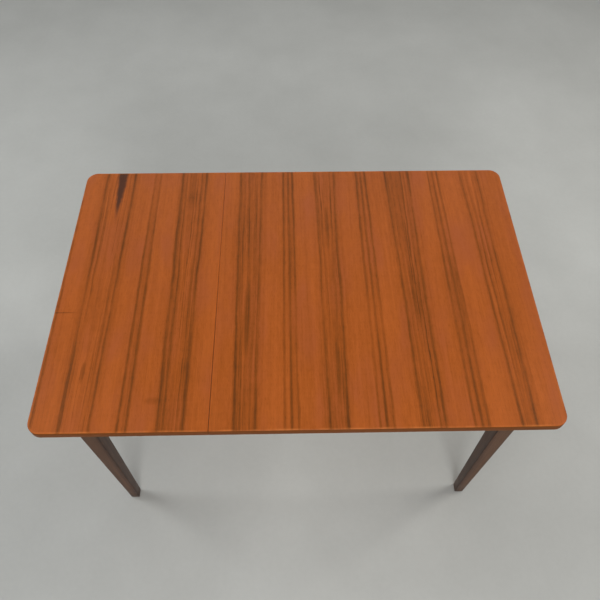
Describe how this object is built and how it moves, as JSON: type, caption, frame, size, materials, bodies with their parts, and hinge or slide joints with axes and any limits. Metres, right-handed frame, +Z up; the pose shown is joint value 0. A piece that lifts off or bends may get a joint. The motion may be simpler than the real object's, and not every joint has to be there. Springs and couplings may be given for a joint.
{
  "type": "extending dining table",
  "caption": "Rectangular extending dining table: teak-veneered top with rounded corners, sliding end section on wooden runners, stored loose leaf and dark tapered legs.",
  "frame": {"origin": "on the floor under the middle of the closed top", "axes": "+X along the table towards the fixed section's end, +Y to the back, +Z up"},
  "size_m": [1.2, 0.8, 0.75],
  "materials": {
    "teak_veneer": "satin oiled book-matched teak veneer, grain front to back",
    "teak_lipping": "satin solid teak",
    "backing_veneer": "plain unfinished veneer",
    "core_board": "blockboard, unfinished",
    "dark_wood": "satin dark-stained hardwood",
    "beech": "unfinished waxed beech",
    "zinc_steel": "zinc plated",
    "glide_steel": "worn nickel"
  },
  "bodies": {
    "frame": {"fixed_top_core": "core_board", "fixed_top_face_veneer": "teak_veneer", "fixed_top_backing_veneer": "backing_veneer", "fixed_top_edge_lipping": "teak_lipping", "fixed_top_seam_lipping": "teak_lipping", "leg_front_left": "dark_wood", "leg_front_right": "dark_wood", "leg_back_left": "dark_wood", "leg_back_right": "dark_wood", "foot_glides": "glide_steel", "apron_front": "dark_wood", "apron_back": "dark_wood", "apron_left": "dark_wood", "apron_right": "dark_wood", "brace_front_left": "beech", "brace_front_right": "beech", "brace_back_left": "beech", "brace_back_right": "beech", "leg_bolts": "zinc_steel", "bolt_washers": "zinc_steel", "wing_nuts": "zinc_steel", "brace_screws": "zinc_steel", "cross_rail_seam": "beech", "cross_rail_leaf": "beech", "rail_dowels": "beech", "guide_front": "beech", "guide_back": "beech", "guide_screws": "zinc_steel", "top_screws": "zinc_steel", "ledge_front": "beech", "ledge_back": "beech", "ledge_screws": "zinc_steel", "fixed_seam_dowels": "beech"},
    "sliding_section": {"sliding_top_core": "core_board", "sliding_top_face_veneer": "teak_veneer", "sliding_top_backing_veneer": "backing_veneer", "sliding_top_edge_lipping": "teak_lipping", "sliding_top_seam_lipping": "teak_lipping", "runner_front": "beech", "runner_back": "beech", "runner_screws": "zinc_steel", "stop_pegs": "beech", "sliding_end_rail": "dark_wood", "end_rail_screws": "zinc_steel", "sliding_seam_dowels": "beech"},
    "leaf": {"leaf_core": "core_board", "leaf_face_veneer": "teak_veneer", "leaf_backing_veneer": "backing_veneer", "leaf_end_lippings": "teak_lipping", "leaf_seam_lippings": "teak_lipping"}
  },
  "joints": [
    {"name": "section_slide", "type": "slide", "parent": "frame", "child": "sliding_section", "axis": [-1, 0, 0], "range_m": [0, 0.42]},
    {"name": "leaf_slide", "type": "slide", "parent": "frame", "child": "leaf", "axis": [1, 0, 0], "range_m": [0, 0.8]}
  ]
}
